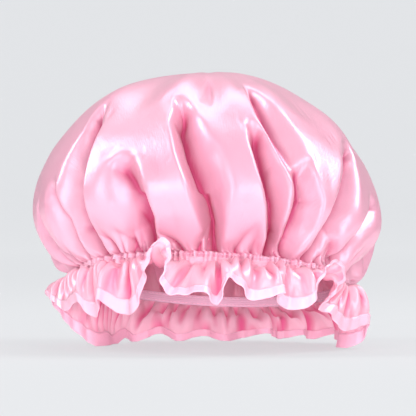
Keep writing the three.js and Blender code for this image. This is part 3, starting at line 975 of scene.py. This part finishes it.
def stitches(name, path, outwards, pitch, length, thick, stand=0.0):
    """Stitches of thread along a closed line, each standing a little out of the cloth."""
    steps = np.linalg.norm(np.roll(path, -1, 0) - path, axis=1)
    run = np.concatenate([[0], np.cumsum(steps)])
    count = round(run[-1] / pitch)
    closed, outs = np.vstack([path, path[:1]]), np.vstack([outwards, outwards[:1]])

    def at(places, values):
        return np.stack([np.interp(places % run[-1], run, values[:, k]) for k in range(3)], -1)

    centres = (np.arange(count) + 0.5) * run[-1] / count
    middle = at(centres, closed)
    along = unit(at(centres + length / 2, closed) - at(centres - length / 2, closed))
    out = at(centres, outs)
    out = unit(out - along * (out * along).sum(-1, keepdims=True))
    bead = bmesh.new()
    bmesh.ops.create_uvsphere(bead, u_segments=bead_sides, v_segments=bead_rings, radius=1)
    shape = np.array([vert.co[:] for vert in bead.verts])
    faces = [[vert.index for vert in face.verts] for face in bead.faces]
    bead.free()
    across = np.cross(along, out)
    corners_of = (
        middle[:, None] + shape[None, :, 2:] * along[:, None] * length / 2
        + shape[None, :, :1] * across[:, None] * thick / 2
        + shape[None, :, 1:2] * out[:, None] * thick / 2 + out[:, None] * stand
    )
    mesh = bpy.data.meshes.new(name)
    every = [[i + n * len(shape) for i in face] for n in range(count) for face in faces]
    mesh.from_pydata(to_row(corners_of.reshape(-1, 3)).tolist(), [], every)
    row = bmesh.new()
    row.from_mesh(mesh)
    bmesh.ops.recalc_face_normals(row, faces=row.faces)
    return finished(name, row)


thread_gap, seam_points = 0.05, 720
inner_face = -inset - elastic_thickness - thread_gap
turn = np.linspace(0, 360, seam_points + 1)[:-1]
for number, height in enumerate((-seam_height, seam_height)):
    line = at_mouth(turn, inner_face, height)
    seam = stitches(f"elastic_stitches_{number + 1}", line, -outwards_at(turn), *stitch)
    dress(seam, thread_pink, "elastic")

seams = {"upper_stitches": (upper_seam, upper_azimuths), "lower_stitches": (lower_seam, ruffle_azimuths)}
for name, (line, around) in seams.items():
    dress(stitches(name, line, outwards_at(around), *stitch, seam_stand), thread_pink, "satin")

# The hem's stitches, on the middle one of three rows that give its normals
edge = ruffle_surface([hem_share - 0.01, hem_share + hem_stitch_in / ruffle_width, hem_share + 0.05])
faces = -grid_normals(edge)[1]
for name, way in {"hem_stitches_outside": 1, "hem_stitches_inside": -1}.items():
    seam = stitches(name, edge[1], faces * way, *stitch, hem_half + seam_stand)
    dress(seam, thread_pink, "satin_hem")

# A bar tack holds the elastic's lap: thread to and fro across it.
tack_steps = np.repeat(np.arange(tack_threads), 2)
tack_heights = np.tile([-1, 1, 1, -1], tack_threads)[:2 * tack_threads] * tack_half
tack_turn = lap_angle * tack_place + tack_steps * tack_pitch / neck_length * 360
tack_line = at_mouth(tack_turn, inner_face - elastic_thickness, tack_heights)
tack_ways = at_mouth(tack_turn, 0, 0.0) - at_mouth(tack_turn, 1, 0.0)
tack = stitches("elastic_bar_tack", tack_line, tack_ways, tack_pitch, tack_pitch * tack_overlap, stitch[2])
dress(tack, thread_pink, "elastic")


# Studio
def lamp(name, place, target, size, power):
    """A rectangular softbox at a place, turned to its target."""
    data = bpy.data.lights.new(name, "AREA")
    data.shape = "RECTANGLE"
    data.size, data.size_y = size
    data.energy = power
    light = bpy.data.objects.new(name, data)
    light.location = place
    light.rotation_euler = (Vector(target) - Vector(place)).to_track_quat("-Z", "Y").to_euler()
    bpy.context.scene.collection.objects.link(light)
    return light


cap_middle, mouth_low = (0, 0, 0.1), (0, 0, 0.03)
lamp("right front softbox", (0.9, -1.9, 0.9), cap_middle, (0.5, 1.5), 15)
lamp("left front softbox", (-0.9, -1.9, 0.9), cap_middle, (0.5, 1.5), 13)
lamp("top softbox", (0.0, 0.5, 1.3), cap_middle, (0.9, 0.5), 6)
lamp("right softbox", (0.9, 0.1, 1.2), cap_middle, (0.7, 0.6), 13)
lamp("left softbox", (-1.1, 0.0, 1.0), cap_middle, (0.3, 0.8), 10)
# The low one only brightens the inside, without a band of gloss across the crown.
low = lamp("low softbox", (0, -2.2, 0.12), mouth_low, (1.4, 0.3), 64)
low.visible_glossy = False

room_light, room_strength = (0.86, 0.88, 0.9, 1), 0.36
world = bpy.data.worlds.new("studio")
bpy.context.scene.world = world
world.use_nodes = True
background = world.node_tree.nodes["Background"]
background.inputs["Color"].default_value = room_light
background.inputs["Strength"].default_value = room_strength

# A sheet of pale paper that bends up behind the cap
paper_half, paper_height, bend_radius, bend_steps = 6, 4, 1.6, 16
sweep = bmesh.new()
bmesh.ops.create_grid(sweep, x_segments=1, y_segments=1, size=paper_half)
back = [e for e in sweep.edges if all(v.co.y > 0 for v in e.verts)]
raised = bmesh.ops.extrude_edge_only(sweep, edges=back)["geom"]
raised = [v for v in raised if isinstance(v, bmesh.types.BMVert)]
bmesh.ops.translate(sweep, verts=raised, vec=(0, 0, paper_height))
bmesh.ops.bevel(
    sweep, geom=back, offset=bend_radius, segments=bend_steps, profile=0.5, affect="EDGES", material=-1
)
floor = finished("studio_floor", sweep)

# To the camera the paper shows mostly a painted glow in place of its light, which grows paler towards the
# back.
tone_rise, tone_start, seen_share = 0.5, -0.1, 0.82
near_painted_tone, far_painted_tone = linear(218, 220, 223), linear(238, 240, 243)
paint = Paint("pale paper")
lit = paint.node("ShaderNodeBsdfDiffuse", {}, {"Color": solid(linear(240, 241, 243))})
place = paint.node("ShaderNodeTexCoord", {}, {}, "Object")
behind = paint.node("ShaderNodeSeparateXYZ", {}, {0: place}, 1)
tone = paint.mix(behind * tone_rise + tone_start, solid(near_painted_tone), solid(far_painted_tone))
# Painted light: an emission that only the camera sees, darker in front and paler behind.
seen = paint.node("ShaderNodeEmission", {}, {"Color": tone, "Strength": 1.0})
ray = paint.node("ShaderNodeLightPath", {}, {}, "Is Camera Ray")
both = paint.node("ShaderNodeMixShader", {}, {0: ray * seen_share, 1: lit, 2: seen})
floor.data.materials.append(paint.finish(both))

# Camera: in the photo the mouth's middle lies right of the frame's middle and below it.
pixel = 0.775 * MM
photo_pixels, pixels_right, pixels_below = 416, 6, 72
camera_rise = math.radians(1.5)
camera_distance, camera_far = 4.0, 50
ahead = Vector((0, math.cos(camera_rise), -math.sin(camera_rise)))
up = Vector((0, math.sin(camera_rise), math.cos(camera_rise)))
aim = Vector(mouth_middle) * MM - Vector((pixels_right * pixel, 0, 0)) + up * pixels_below * pixel
lens = bpy.data.cameras.new("camera")
lens.sensor_width = 36
lens.lens = lens.sensor_width * camera_distance / (photo_pixels * pixel)
lens.clip_end = camera_far
camera = bpy.data.objects.new("camera", lens)
camera.location = aim - ahead * camera_distance
camera.rotation_euler = ahead.to_track_quat("-Z", "Y").to_euler()
bpy.context.scene.collection.objects.link(camera)
bpy.context.scene.camera = camera
bpy.context.scene.view_settings.view_transform = "Standard"
